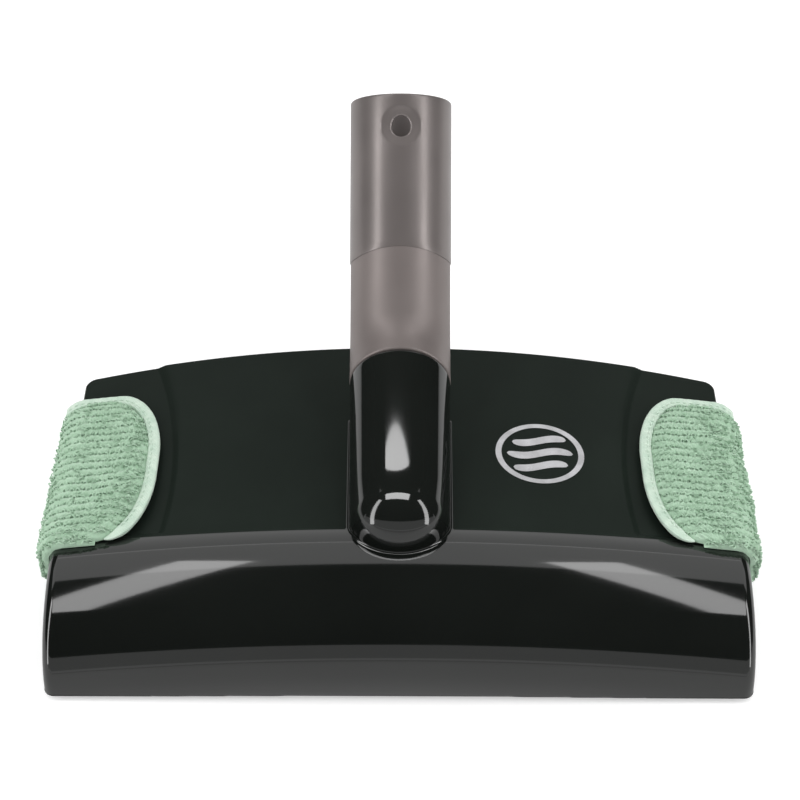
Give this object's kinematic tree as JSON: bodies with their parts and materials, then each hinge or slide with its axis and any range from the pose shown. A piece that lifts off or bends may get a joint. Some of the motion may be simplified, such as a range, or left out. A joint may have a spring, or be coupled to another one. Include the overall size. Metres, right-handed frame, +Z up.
{
  "type": "hard-floor suction head",
  "caption": "Wide floor head with a rounded front, a swivelling wand elbow and a terry pad that wraps round the ends of its deck.",
  "frame": {"origin": "on the floor under the middle of the head, in the pad's lower face", "axes": "+X to the right along the head, +Y to the back where the wand leaves, +Z up"},
  "size_m": [0.2618, 0.2091, 0.1231],
  "materials": {
    "cover_black": "polished moulding",
    "inner_grey": "fine textured moulding",
    "wand_pewter": "satin metallic moulding",
    "roller_grey": "satin moulding",
    "lip_rubber": "matt rubber",
    "pin_steel": "bright zinc",
    "hook_black": "moulded hook tape",
    "backing_white": "brushed loop cloth",
    "terry_green": "looped microfibre terry",
    "binding_green": "folded binding tape"
  },
  "bodies": {
    "head": {"top_cover": "cover_black", "base_plate": "inner_grey", "duct_trough": "inner_grey", "duct_gasket": "lip_rubber", "front_wiper": "lip_rubber", "rear_wiper": "lip_rubber", "roller_axle_left": "pin_steel", "roller_axle_right": "pin_steel", "cover_screws": "pin_steel", "hook_strip_left": "hook_black", "hook_strip_right": "hook_black", "sole_hook_strips": "hook_black", "pad_backing": "backing_white", "pad_pile": "terry_green", "pad_flap_left": "terry_green", "pad_flap_right": "terry_green", "pad_binding_left": "binding_green", "pad_binding_right": "binding_green"},
    "elbow": {"swivel_elbow": "wand_pewter", "swivel_retainer": "pin_steel", "swivel_seal": "lip_rubber", "wand_sleeve": "wand_pewter", "wand_seal": "lip_rubber"},
    "roller_left": {"roller_left": "roller_grey"},
    "roller_right": {"roller_right": "roller_grey"}
  },
  "joints": [
    {"name": "elbow_swivel", "type": "hinge", "parent": "head", "child": "elbow", "pos_m": [0, 0.032, 0.04904], "axis": [0, 1, 0], "range_deg": [-90, 90]},
    {"name": "roller_left_spin", "type": "hinge", "parent": "head", "child": "roller_left", "pos_m": [-0.112, -0.052, 0.0072], "axis": [1, 0, 0], "continuous": true},
    {"name": "roller_right_spin", "type": "hinge", "parent": "head", "child": "roller_right", "pos_m": [0.112, -0.052, 0.0072], "axis": [1, 0, 0], "continuous": true}
  ]
}
